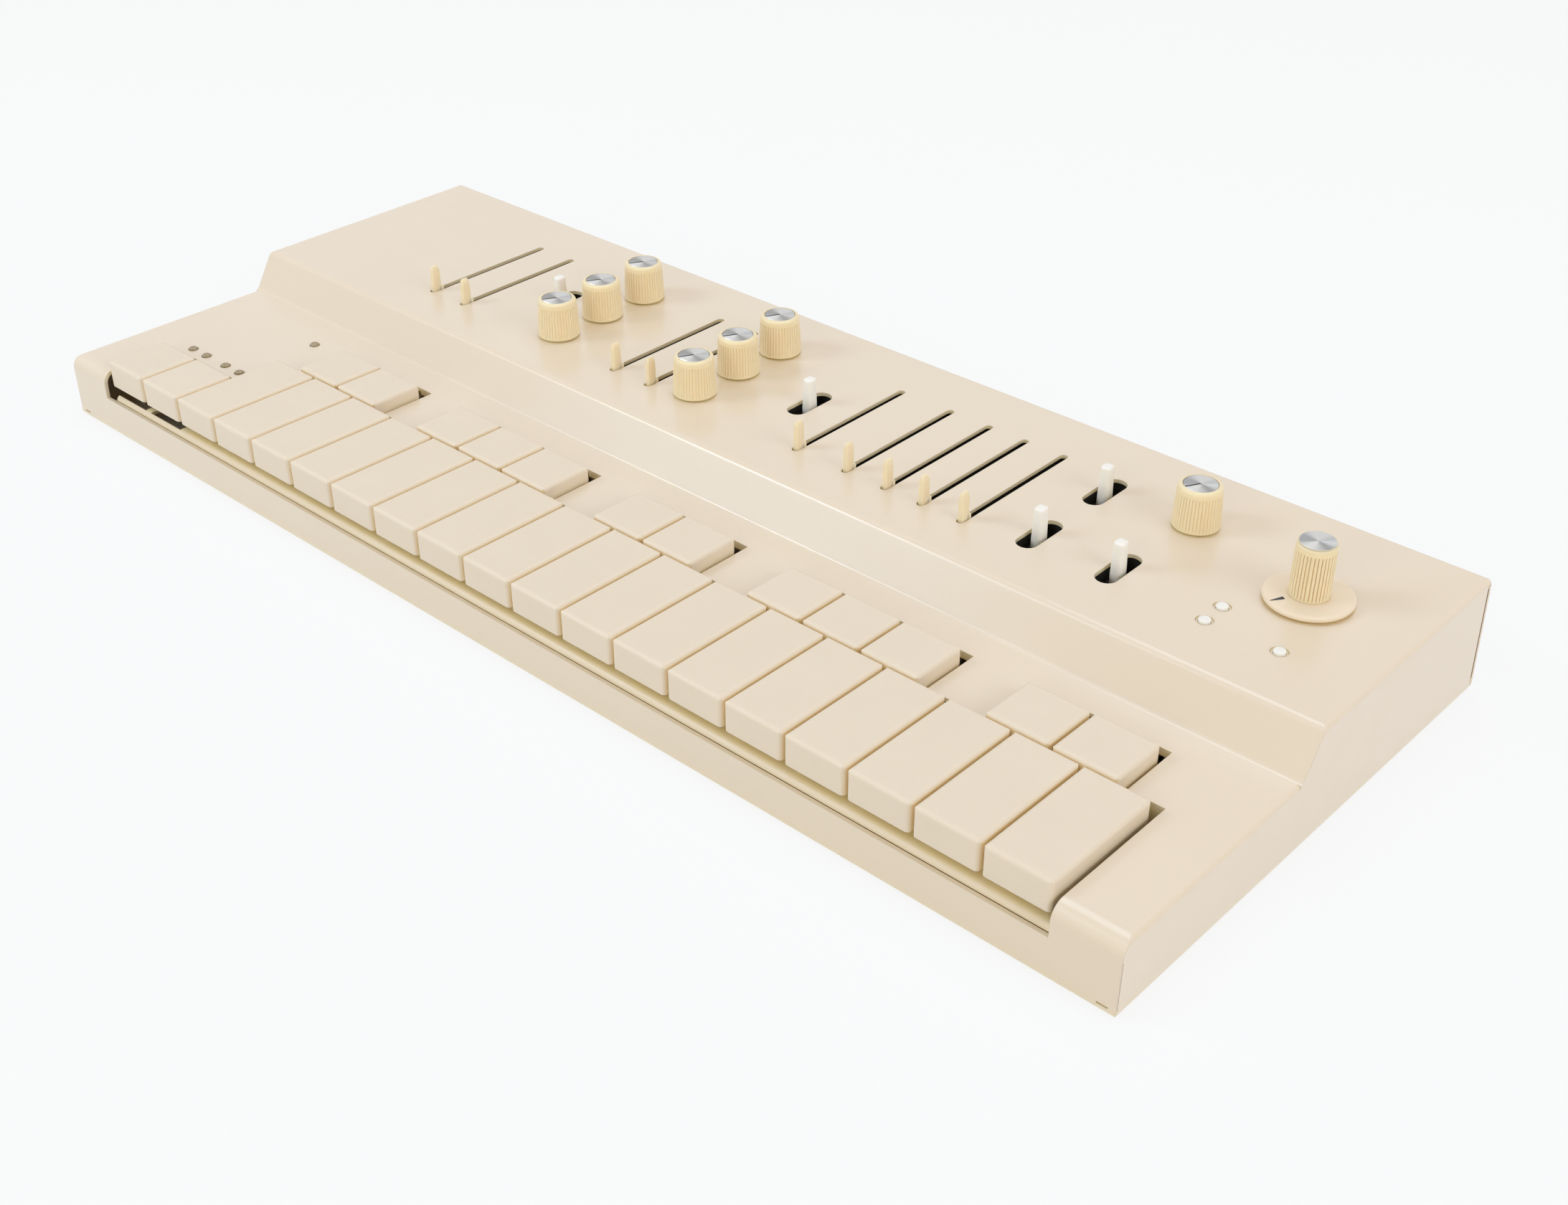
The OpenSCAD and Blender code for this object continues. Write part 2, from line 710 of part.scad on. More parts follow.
module toggle_body() {
    difference() {
        translate([-toggle_body_w / 2, -toggle_body_len / 2, 0])
            cube([toggle_body_w, toggle_body_len, above_board(toggle_body_top)]);
        translate([-toggle_slot_w / 2, -toggle_slot_len / 2, toggle_floor_t])
            cube([toggle_slot_w, toggle_slot_len, board_drop]);
        translate([-toggle_body_w / 2 - overlap, 0, above_board(toggle_pivot)]) rotate([0, 90, 0])
            cylinder(h = toggle_body_w + 2 * overlap, d = toggle_pin_d + 2 * toggle_pin_clear);
    }
}

module tact_switch() {
    translate([-tact_w / 2, -tact_w / 2, 0]) cube([tact_w, tact_w, tact_h - tact_gap]);
    cylinder(h = tact_h, d = button_d);
}

module socket(x, d, deep) {
    body = d + 2 * socket_wall;
    on_rear() translate([x, 0, socket_z]) rotate([90, 0, 0]) difference() {
        union() {
            cylinder(h = deep, d = body);
            translate([-body / 2, -body / 2, sheet_t + socket_gap])
                cube([body, body, deep - sheet_t - socket_gap + socket_wall]);
        }
        translate([0, 0, -overlap]) cylinder(h = deep + overlap, d = d);
    }
}

module circuit_boards() color("darkslategray") {
    key_board();
    control_board();
    for (x = jack_x) socket(x, jack_d, jack_depth);
    socket(din_x, din_d, din_depth);
    socket(inlet_x, inlet_d, inlet_depth);
}

// Fader: a blade with a ridged top on a foot that runs in the slide pot
module fader(i) color(ivory) {
    half = fader_blade_t / 2;
    ridge = fader_blade_t / 4;
    on_panel() translate([fader_x[i], fader_slot_y + fader_end_gap, 0]) {
        along(0, fader_blade_len) polygon([[-half, -fader_bottom], [-half, fader_blade_h - half],
            [-ridge, fader_blade_h], [ridge, fader_blade_h], [half, fader_blade_h - half],
            [half, -fader_bottom]]);
        translate([-half, 0, -fader_bottom])
            cube([fader_blade_t, fader_foot_len, fader_bottom + fader_foot_h]);
    }
}

// Knob: a tapered body with a sunk metal disc, on its shaft
function disc_r(top_d) = top_d / 2 - knob_edge - knob_rim;

module knob_body(base_d, top_d, bottom, top) {
    rotate_extrude() polygon([[0, bottom], [base_d / 2, bottom], [top_d / 2, top - knob_edge],
        [top_d / 2 - knob_edge, top], [disc_r(top_d), top], [disc_r(top_d), top - pointer_depth],
        [0, top - pointer_depth]]);
}

module shaft(top) {
    translate([0, 0, -shaft_end]) cylinder(h = shaft_end + top, d = shaft_d);
}

// The pointer is a groove in the disc
module knob(i) color(ivory) {
    on_panel() translate(knob_at[i]) difference() {
        union() {
            knob_body(knob_d, knob_top_d, knob_gap, knob_h);
            shaft(knob_gap + overlap);
        }
        rotate([0, 0, pointer_angle]) translate([0, -pointer_w / 2, knob_h - 2 * pointer_depth])
            cube([disc_r(knob_top_d), pointer_w, overlap]);
    }
}

// The pointer of the tuning knob is a wedge cut into its skirt
module tuning_knob() color(ivory) {
    wedge_from = tuning_d / 2 + wedge_w;
    wedge_to = skirt_d / 2 - skirt_t / 2;
    skirt_top = knob_gap + skirt_t;
    on_panel() translate(tuning_at) difference() {
        union() {
            knob_body(tuning_d, tuning_d, knob_gap, tuning_h);
            translate([0, 0, knob_gap]) rotate_extrude() polygon([[0, 0], [skirt_d / 2, 0],
                [skirt_d / 2, skirt_t / 2], [skirt_d / 2 - skirt_t / 2, skirt_t], [0, skirt_t]]);
            shaft(knob_gap + overlap);
        }
        rotate([0, 0, pointer_angle]) translate([0, 0, skirt_top - pointer_depth]) linear_extrude(overlap)
            polygon([[wedge_from, wedge_w / 2], [wedge_from, -wedge_w / 2], [wedge_to, 0]]);
    }
}

// Toggle: a paddle lever that rocks on its own cross pin
module toggle(i) color("whitesmoke") {
    on_panel() translate(toggle_at[i]) {
        translate([0, 0, -toggle_pivot - toggle_tail])
            cylinder(h = toggle_pivot + toggle_tail + toggle_h - toggle_d / 2, d = toggle_d);
        translate([0, 0, toggle_h - toggle_d / 2]) sphere(d = toggle_d);
        translate([-toggle_body_w / 2 + pin_inset, 0, -toggle_pivot]) rotate([0, 90, 0])
            cylinder(h = toggle_body_w - 2 * pin_inset, d = toggle_pin_d);
    }
}

// Button: a plunger held under the panel by its flange
module button(i) color("white") {
    on_panel() translate(button_at[i]) {
        translate([0, 0, -button_bottom]) cylinder(h = button_bottom + button_h, d = button_d);
        translate([0, 0, -button_flange_top - button_flange])
            cylinder(h = button_flange, d = button_d + 2 * button_flange);
    }
}

top_cover();
base_pan();
key_rail();
circuit_boards();
for (i = [0 : functions - 1])
    front_key(i, function_len, function_arm_w);
for (n = [0 : naturals - 1])
    front_key(functions + n, natural_len, arm_w);
for (k = count(sharps))
    sharp_key(k);
for (i = count(fader_x))
    fader(i);
for (i = count(knob_at))
    knob(i);
tuning_knob();
for (i = count(toggle_at))
    toggle(i);
for (i = count(button_at))
    button(i);
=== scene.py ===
"""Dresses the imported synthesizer: finishes, knobs, levers, lamps, sockets, screws, light and camera."""

import json
import math

import bmesh
import bpy
from mathutils import Matrix, Vector

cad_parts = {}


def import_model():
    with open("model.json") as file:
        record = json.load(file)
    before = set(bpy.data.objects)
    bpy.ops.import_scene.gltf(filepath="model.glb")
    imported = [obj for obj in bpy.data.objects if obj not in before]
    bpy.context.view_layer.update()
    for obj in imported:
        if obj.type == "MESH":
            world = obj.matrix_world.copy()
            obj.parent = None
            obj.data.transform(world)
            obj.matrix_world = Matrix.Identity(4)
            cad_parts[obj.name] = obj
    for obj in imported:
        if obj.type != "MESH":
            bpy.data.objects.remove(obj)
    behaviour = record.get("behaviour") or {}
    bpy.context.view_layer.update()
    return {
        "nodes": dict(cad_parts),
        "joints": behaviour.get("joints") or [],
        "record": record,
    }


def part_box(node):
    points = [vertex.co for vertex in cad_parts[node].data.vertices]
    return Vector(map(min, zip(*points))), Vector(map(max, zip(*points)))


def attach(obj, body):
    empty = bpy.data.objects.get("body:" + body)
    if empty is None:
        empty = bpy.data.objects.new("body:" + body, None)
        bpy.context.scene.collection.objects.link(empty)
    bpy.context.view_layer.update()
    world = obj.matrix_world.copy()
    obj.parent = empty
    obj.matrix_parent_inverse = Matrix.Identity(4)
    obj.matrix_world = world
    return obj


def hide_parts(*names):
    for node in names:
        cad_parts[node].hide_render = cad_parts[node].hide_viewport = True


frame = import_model()
nodes = frame["nodes"]
joints = {joint["child"]: joint for joint in frame["joints"]}
mounts = {mount["name"]: mount for mount in frame["record"]["mounts"]}
MM = 0.001
CASE = "case"

# Case, in millimetres; points are (y, z)
CASE_W = 420
SHEET_T = 1.2
SHEET_GAP = 0.3
DECK_FRONT = (-85.5, 21.5)
DECK_TILT = math.radians(0.6)
LEDGE_TOP = 13.9
LEDGE_R = 2.0
LEDGE_INSET = 3.5
LIP_TOP = 12.3
REAR_JOINT = ((83.8, 4.0), (80.95, 34.0))
REAR_JOINT_W = 0.6
FRONT_JOINT = ((-85.15, 2.5), (-85.15, 16.5))
FRONT_JOINT_W = 0.12
SLIT_X = 206.3
SLIT_Z = 2.2
SLIT_L = 2.95
SLIT_H = 0.46
SCREW_X = (-170, -90, -10, 50, 130, 170)

# Keys, their slots, and the lamps as (x from the row's left end, distance from the front face)
ROW_LEFT = -189.5
ROW_END_GAP = 1.5
KEY_GAP = 1.0
SHARP_COUNT = 12
LAST_NATURAL = "natural_key_17"
SHARP_SLOT_END = 63.8
NATURAL_SLOT_END = 44.7
TAB_W = 5.8
SHARP_TAB_DROP = 2.6
NATURAL_TAB_DROP = 8.0
LAMPS = [(4.8, 30.6), (12.6, 30.6), (23.6, 30.6), (31.4, 30.6), (32.32, 60.0)]
LENS_R = 1.55
LENS_DEPTH = 1.6
LENS_DOME = 0.95

# Knobs, with heights above the panel
KNOB_COUNT = 7
KNOB_BASE_R = 6.75
KNOB_TOP_R = 6.15
KNOB_H = 13.1
KNOB_GAP = 0.5
KNOB_FLUTES = 44
KNOB_FLUTE_DEPTH = 0.16
KNOB_FLUTE_FOOT = 1.3
KNOB_BAND = 11.2
TUNING_R = 5.4
TUNING_H = 17.9
TUNING_TAPER = 0.15
TUNING_SINK = 0.2
TUNING_FLUTES = 34
TUNING_FLUTE_DEPTH = 0.28
TUNING_PLAIN_FOOT = 0.5
TUNING_BAND_W = 2.2
SKIRT_R = 12.0
SKIRT_T = 1.6
SKIRT_TOP = KNOB_GAP + SKIRT_T
SHAFT_R = 3.0
SHAFT_DEPTH = 8.6
DISC_R = 4.8
DISC_SEAT = 0.35
RIM_R = 1.1
POINTER_ANGLE = math.radians(-120)

# Faders, toggles and buttons
FADER_COUNT = 9
FADER_W = 1.8
FADER_L = 3.2
FADER_EDGE = 0.4
FADER_DEPTH = 7.2
FADER_H = 8.8
FADER_FOOT_BACK = 1.65
TOGGLE_COUNT = 5
TOGGLE_PIVOT = 6.0
TOGGLE_H = 8.6
TOGGLE_BOTTOM = (3.4, 3.8)
TOGGLE_BASE = (3.6, 4.1)
TOGGLE_TIP = (3.2, 3.6)
TOGGLE_PIN_R = 1.0
TOGGLE_PIN_HALF = 4.8
BUTTON_COUNT = 3
BUTTON_R = 1.65
BUTTON_H = 0.65
BUTTON_DEPTH = 5.8
BUTTON_FLANGE = 0.8
BUTTON_HOLE_R = 2.4
BEZEL_GAP = 0.12
BEZEL_FIT = 0.03
BEZEL_SINK = 0.25

# Rear sockets; rings are (inner radius, outer radius, thickness)
JACK_WASHER = (3.45, 6.2, 0.5)
JACK_NUT = (3.4, 5.6, 1.8)
CONTROL_RING = (7.2, 9.6, 0.8)
CONTACT = (0.75, 1.15, 1.0)
CONTACT_COUNT = 5
CONTACT_STEP = math.radians(45)
CONTACT_CIRCLE_R = 3.75
CONTACT_DEPTH = 7.9
INLET_RING = (2.95, 4.6, 0.6)
INLET_PIN_R = 1.0
INLET_PIN_L = 7.5
INLET_PIN_DEPTH = 9.9

# Colours
CREAM = (0.79, 0.68, 0.545)
KEY_CREAM = (0.80, 0.705, 0.585)
IVORY = (0.91, 0.775, 0.53)
PALE_IVORY = (0.86, 0.74, 0.59)
LEVER_IVORY = (0.88, 0.77, 0.56)
MILK = (0.90, 0.89, 0.87)
# Painted shade: the warm colours that hollows take where little light reaches
STRAW_HOLLOW_SHADE = (0.96, 0.83, 0.46)
AMBER_HOLLOW_SHADE = (0.80, 0.58, 0.34)
HONEY_HOLLOW_SHADE = (0.97, 0.79, 0.50)
GROOVE_SHADE = (0.60, 0.45, 0.23)
SCATTER = (1.0, 0.8, 0.55)


# Materials

class Finish:
    """A Principled material, with short names for the nodes that detail it."""

    def __init__(self, name, color, roughness, **sockets):
        self.material = bpy.data.materials.new(name)
        self.material.use_nodes = True
        self.nodes = self.material.node_tree.nodes
        self.links = self.material.node_tree.links
        self.shader = self.nodes["Principled BSDF"]
        self.shader.inputs["Base Color"].default_value = (*color, 1)
        self.shader.inputs["Roughness"].default_value = roughness
        for socket, value in sockets.items():
            self.shader.inputs[socket.replace("_", " ")].default_value = value
        self.material.diffuse_color = (*color, 1)
        self.place = self.node("ShaderNodeTexCoord").outputs["Object"]
        self.normal = None

    def node(self, kind, **values):
        made = self.nodes.new(kind)
        for key, value in values.items():
            setattr(made, key, value)
        return made

    def noise(self, size_mm, detail=3.0):
        """Noise whose features are about size_mm wide."""
        mapping = self.node("ShaderNodeMapping")
        mapping.inputs["Scale"].default_value = [1 / (size_mm * MM)] * 3
        texture = self.node("ShaderNodeTexNoise")
        texture.inputs["Scale"].default_value = 1
        texture.inputs["Detail"].default_value = detail
        self.links.new(self.place, mapping.inputs["Vector"])
        self.links.new(mapping.outputs["Vector"], texture.inputs["Vector"])
        return texture.outputs["Fac"]

    def spread(self, value, low, high, start=0.3, end=0.7):
        """Maps a value between start and end, as most noise is, to the range from low to high."""
        ranged = self.node("ShaderNodeMapRange")
        self.links.new(value, ranged.inputs["Value"])
        for socket, number in zip(("From Min", "From Max", "To Min", "To Max"), (start, end, low, high)):
            ranged.inputs[socket].default_value = number
        return ranged.outputs["Result"]

    def tint(self, factor, color):
        """Mixes another colour over what the base colour is so far."""
        mix = self.node("ShaderNodeMix", data_type="RGBA")
        base = self.shader.inputs["Base Color"]
        if base.is_linked:
            self.links.new(base.links[0].from_socket, mix.inputs["A"])
        else:
            mix.inputs["A"].default_value = base.default_value
        mix.inputs["B"].default_value = (*color, 1)
        self.links.new(factor, mix.inputs["Factor"])
        self.links.new(mix.outputs["Result"], base)

    def rough(self, factor):
        self.links.new(factor, self.shader.inputs["Roughness"])

    def paint_hollow_shade(self, reach_mm, color, start, end):
        """Paints shade into narrow gaps: the colour turns warm there, as painted bounce light from cream to
        cream.
        """
        hollow = self.node("ShaderNodeAmbientOcclusion", samples=6)
        hollow.inputs["Distance"].default_value = reach_mm * MM
        self.tint(self.spread(hollow.outputs["AO"], 1, 0, start, end), color)

    def soften_edges(self, radius_mm):
        """Rounds the shading of sharp folded and cut edges."""
        bevel = self.node("ShaderNodeBevel", samples=6)
        bevel.inputs["Radius"].default_value = radius_mm * MM
        self._link_normal(bevel)

    def bump(self, height, depth_mm, strength):
        bump = self.node("ShaderNodeBump")
        bump.inputs["Distance"].default_value = depth_mm * MM
        bump.inputs["Strength"].default_value = strength
        self.links.new(height, bump.inputs["Height"])
        if self.normal:
            self.links.new(self.normal, bump.inputs["Normal"])
        self._link_normal(bump)

    def _link_normal(self, made):
        self.normal = made.outputs["Normal"]
        self.links.new(self.normal, self.shader.inputs["Normal"])


def shade(color, factor):
    return tuple(channel * factor for channel in color)


def painted_sheet(name, coat, hollow_shade):
    """Satin paint: a fine orange peel, slow drifts of tone, and painted straw-coloured shade in the hollows.
    """
    finish = Finish(name, CREAM, 0.4, Coat_Weight=coat, Coat_Roughness=0.19)
    finish.tint(finish.spread(finish.noise(60), 0, 0.5), shade(CREAM, 0.97))
    finish.tint(finish.spread(finish.noise(0.5, 2), 0, 0.25), shade(CREAM, 1.03))
    finish.rough(finish.spread(finish.noise(9), 0.36, 0.45))
    # Painted shade: the colour turns straw where little light reaches
    finish.paint_hollow_shade(*hollow_shade)
    finish.soften_edges(0.3)
    finish.bump(finish.noise(0.55, 2), 0.005, 0.5)
    return finish.material


def moulded_plastic(name, color, roughness, scatter, scatter_mm, grain=(0.2, 0.006), hollow_shade=None, edge_mm=0):
    """Moulded plastic: light scatters in it, with a fine grain, a slight cloudiness and, if given, painted
    warm shade in the hollows.
    """
    finish = Finish(name, color, roughness, Subsurface_Weight=scatter, Subsurface_Radius=SCATTER,
                    Subsurface_Scale=scatter_mm * MM)
    finish.tint(finish.spread(finish.noise(14), 0, 0.45), shade(color, 0.965))
    finish.rough(finish.spread(finish.noise(4), roughness - 0.05, roughness + 0.05))
    # Painted shade: the colour turns warm where little light reaches
    if hollow_shade:
        finish.paint_hollow_shade(*hollow_shade)
    if edge_mm:
        finish.soften_edges(edge_mm)
    grain_mm, grain_depth = grain
    finish.bump(finish.noise(grain_mm, 2), grain_depth, 0.6)
    return finish.material


def turned_aluminium():
    """Face-turned aluminium: fine rings, and light and dark sectors painted into its colour as a reflection
    that stays fixed to the disc.
    """
    finish = Finish("turned_aluminium", (0.34, 0.335, 0.325), 0.3, Metallic=1.0, Anisotropic=0.6)
    around = finish.node("ShaderNodeTexGradient", gradient_type="RADIAL")
    finish.links.new(finish.place, around.inputs["Vector"])

    def math_node(operation, first, second):
        made = finish.node("ShaderNodeMath", operation=operation)
        finish.links.new(first, made.inputs[0])
        made.inputs[1].default_value = second
        return made.outputs["Value"]

    def painted_reflection_sectors(count, bright_at, low, high):
        turn = math_node("MULTIPLY_ADD", around.outputs["Fac"], math.tau * count)
        turn.node.inputs[2].default_value = -count * math.radians(bright_at)
        return finish.spread(math_node("COSINE", turn, 0), low, high, -0.4, 1.0)

    # Painted reflection: the light and dark sectors that turned rings show
    finish.tint(painted_reflection_sectors(2, 96, 0, 0.8), (0.70, 0.69, 0.67))
    finish.tint(painted_reflection_sectors(3, 322, 0, 0.5), (0.80, 0.79, 0.77))
    rings = finish.node("ShaderNodeTexWave", wave_type="RINGS", rings_direction="Z")
    rings.inputs["Scale"].default_value = 1400
    rings.inputs["Distortion"].default_value = 1.5
    rings.inputs["Detail"].default_value = 2
    finish.links.new(finish.place, rings.inputs["Vector"])
    finish.rough(finish.spread(rings.outputs["Fac"], 0.26, 0.36, 0, 1))
    tangent = finish.node("ShaderNodeTangent", direction_type="RADIAL", axis="Z")
    finish.links.new(tangent.outputs["Tangent"], finish.shader.inputs["Tangent"])
    finish.bump(rings.outputs["Fac"], 0.002, 0.4)
    return finish.material


def plain_steel():
    finish = Finish("zinc_steel", (0.56, 0.56, 0.55), 0.35, Metallic=1.0)
    finish.tint(finish.spread(finish.noise(3), 0, 0.6), (0.48, 0.48, 0.47))
    finish.rough(finish.spread(finish.noise(1.5), 0.28, 0.45))
    finish.bump(finish.noise(0.2, 2), 0.003, 0.5)
    return finish.material


def dark_electronics():
    """Black boards and black mouldings, slightly mottled."""
    finish = Finish("black_electronics", (0.008, 0.007, 0.005), 0.6)
    finish.tint(finish.spread(finish.noise(5), 0, 0.5), (0.014, 0.012, 0.009))
    finish.rough(finish.spread(finish.noise(2), 0.5, 0.7))
    finish.bump(finish.noise(0.3, 2), 0.01, 0.5)
    return finish.material


def smoked_lens():
    finish = Finish("smoked_lens", (0.30, 0.225, 0.12), 0.2, Coat_Weight=0.25, Coat_Roughness=0.08)
    finish.tint(finish.spread(finish.noise(1.2), 0, 0.7), (0.42, 0.33, 0.20))
    finish.rough(finish.spread(finish.noise(0.6), 0.16, 0.28))
    finish.bump(finish.noise(0.5, 1), 0.004, 0.4)
    return finish.material


def joint_shade():
    """The brown shade in the joints of the sheet."""
    finish = Finish("joint_shade", (0.19, 0.115, 0.055), 0.75)
    finish.tint(finish.spread(finish.noise(2), 0, 0.7), (0.12, 0.07, 0.03))
    finish.bump(finish.noise(0.3, 2), 0.01, 0.5)
    return finish.material


def black_ink():
    finish = Finish("black_ink", (0.012, 0.012, 0.013), 0.5)
    finish.tint(finish.spread(finish.noise(0.4), 0, 0.6), (0.022, 0.021, 0.02))
    finish.bump(finish.noise(0.15, 2), 0.004, 0.5)
    return finish.material


# Painted hollow shade is (reach in millimetres, colour, openness of a full tint, openness of none)
PAINT = painted_sheet("cream_paint", 0.9, (10.0, STRAW_HOLLOW_SHADE, 0.15, 0.6))
PAN_PAINT = painted_sheet("cream_paint_below", 0.15, (9.0, STRAW_HOLLOW_SHADE, 0.2, 0.9))
KEY_PLASTIC = moulded_plastic("key_plastic", KEY_CREAM, 0.46, scatter=0.15, scatter_mm=2, grain=(0.18, 0.006),
                              hollow_shade=(8.0, HONEY_HOLLOW_SHADE, 0.1, 0.72), edge_mm=0.3)
KNOB_PLASTIC = moulded_plastic("ivory_plastic", IVORY, 0.42, scatter=0.45, scatter_mm=2,
                               hollow_shade=(0.5, GROOVE_SHADE, 0.2, 0.8))
SKIRT_PLASTIC = moulded_plastic("pale_ivory_plastic", PALE_IVORY, 0.42, scatter=0.3, scatter_mm=1.5,
                                hollow_shade=(1.2, AMBER_HOLLOW_SHADE, 0.2, 0.8))
LEVER_PLASTIC = moulded_plastic("ivory_lever_plastic", LEVER_IVORY, 0.36, scatter=0.45, scatter_mm=1.5,
                                grain=(0.2, 0.004))
WHITE_PLASTIC = moulded_plastic("milky_plastic", MILK, 0.35, scatter=0.5, scatter_mm=2, grain=(0.25, 0.003))
ALUMINIUM = turned_aluminium()
STEEL = plain_steel()
BLACK = dark_electronics()
LENS = smoked_lens()
JOINT_SHADE = joint_shade()
INK = black_ink()


# Mesh helpers, in millimetres about a piece's own origin

def bridge(bm, low, high):
    """Faces between two rings of vertices; a ring of one vertex is a point on the axis."""
    count = max(len(low), len(high))
    for k in range(count):
        n = (k + 1) % count
        corners = [low[k % len(low)], low[n % len(low)], high[n % len(high)], high[k % len(high)]]
        bm.faces.new(list(dict.fromkeys(corners)))


def loft(bm, sections):
    """A skin over rings of points, closed at both ends."""
    rings = [[bm.verts.new(Vector(point) * MM) for point in section] for section in sections]
    for low, high in zip(rings, rings[1:]):
        bridge(bm, low, high)
    for ring, flip in ((rings[0], True), (rings[-1], False)):
        if len(ring) > 2:
            bm.faces.new(ring[::-1] if flip else ring)


def circle(radius, z, steps, shape=None):
    """A ring of points at height z; shape(angle) takes some of its radius away."""
    if radius == 0:
        return [(0, 0, z)]
    angles = [math.tau * k / steps for k in range(steps)]
    radii = [radius - (shape(angle) if shape else 0) for angle in angles]
    return [(r * math.cos(a), r * math.sin(a), z) for r, a in zip(radii, angles)]


def arc(centre, radius, start, end, steps):
    """Points (r, z) on a part of a circle, for a lathe profile; angles in degrees."""
    turns = [math.radians(start + (end - start) * k / steps) for k in range(steps + 1)]
    return [(centre[0] + radius * math.cos(t), centre[1] + radius * math.sin(t)) for t in turns]


def rounded_rectangle(width, length, radius, z, steps=6):
    """A ring of points round a rectangle with rounded corners."""
    points = []
    for corner, (sx, sy) in enumerate(((1, 1), (-1, 1), (-1, -1), (1, -1))):
        centre = (sx * (width / 2 - radius), sy * (length / 2 - radius))
        for k in range(steps + 1):
            turn = math.radians(90 * (corner + k / steps))
            points.append((centre[0] + radius * math.cos(turn), centre[1] + radius * math.sin(turn), z))
    return points


def oval(width, length, z, steps=48, power=3.4):
    """A ring of points between an ellipse and a rectangle."""
    points = []
    for k in range(steps):
        c, s = math.cos(math.tau * k / steps), math.sin(math.tau * k / steps)
        x = math.copysign(abs(c) ** (2 / power), c) * width / 2
        y = math.copysign(abs(s) ** (2 / power), s) * length / 2
        points.append((x, y, z))
    return points


def lathe_mesh(profile, steps):
    """A turned form, from (r, z) points."""
    bm = bmesh.new()
    loft(bm, [circle(radius, z, steps) for radius, z in profile])
    return bm


def prism_mesh(outline, low, high):
    """A flat form, from (x, y) points and two heights."""
    bm = bmesh.new()
    loft(bm, [[(x, y, z) for x, y in outline] for z in (low, high)])
    return bm


def ring_mesh(inner, outer, thick, sides=None, chamfer=0.3):
    """A washer or nut: round inside, and outside round or with flat sides."""
    bm = bmesh.new()
    steps = 96

    def shape(angle):
        if not sides:
            return 0
        part = math.tau / sides
        return outer - outer * math.cos(part / 2) / math.cos((angle % part) - part / 2)

    outside = [circle(outer - chamfer, 0, steps, shape), circle(outer, chamfer, steps, shape),
               circle(outer, thick - chamfer, steps, shape), circle(outer - chamfer, thick, steps, shape)]
    inside = [circle(inner + chamfer / 2, thick, steps), circle(inner, thick - chamfer / 2, steps),
              circle(inner, 0, steps)]
    rings = [[bm.verts.new(Vector(point) * MM) for point in section] for section in outside + inside]
    for first, second in zip(rings, rings[1:] + rings[:1]):
        bridge(bm, first, second)
    return bm


def piece(name, bm, material, body, place, sharp=35):
    """Turns a mesh into a named piece that rides on a body; edges over sharp degrees stay crisp."""
    bmesh.ops.recalc_face_normals(bm, faces=bm.faces)
    mesh = bpy.data.meshes.new(name)
    bm.to_mesh(mesh)
    bm.free()
    mesh.materials.append(material)
    mesh.shade_smooth()
    mesh.set_sharp_from_angle(angle=math.radians(sharp))
    made = bpy.data.objects.new(name, mesh)
    bpy.context.scene.collection.objects.link(made)
    made.matrix_world = place
    bpy.context.view_layer.update()
    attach(made, body)
    return made


def raised(z):
    return Matrix.Translation((0, 0, z * MM))


def turned(angle):
    return Matrix.Rotation(angle, 4, "Z")


def seat(point, up):
    """The place of a piece whose origin is at a point and whose Z runs along up, with X kept level."""
    z = Vector(up).normalized()
    x = Vector((1, 0, 0))
    turn = Matrix((x, z.cross(x), z)).transposed().to_4x4()
    return Matrix.Translation(point) @ turn


PANEL_UP = Vector(joints["knob_1"]["axis"])


def panel_seat(node):
    return seat(joints[node]["pos_m"], PANEL_UP)


def deck_seat(x, y):
    """A place on the lower deck, from the left end of the keys and from the front face."""
    up = Vector((0, -math.sin(DECK_TILT), math.cos(DECK_TILT)))
    back = Vector((0, math.cos(DECK_TILT), math.sin(DECK_TILT)))
    return seat((Vector((ROW_LEFT + x, *DECK_FRONT)) + back * y) * MM, up)


def socket_seat(name):
    """The mouth of a socket on the rear wall, with Z out of the case."""
    mount = mounts[name]
    out = Vector(mount["axis"]).normalized()
    return seat(Vector(mount["pos_m"]) + out * mount["dims"]["length_mm"] / 2 * MM, out)


# Case, keys and inner parts keep their CAD shapes

def dress(node, material):
    mesh = nodes[node].data
    mesh.materials.clear()
    mesh.materials.append(material)


for node in nodes:
    if "_key_" in node:
        dress(node, KEY_PLASTIC)
dress("top_cover", PAINT)
dress("base_pan", PAN_PAINT)
dress("key_rail", STEEL)
dress("circuit_boards", BLACK)


# Knobs

def flutes(count, depth, ridge=0.7, crown=0.12):
    """Takes narrow grooves between wide, slightly crowned ridges."""
    def shape(angle):
        t = (angle * count / math.tau) % 1
        if t < ridge:
            return depth * crown * (2 * t / ridge - 1) ** 2
        return depth
    return shape


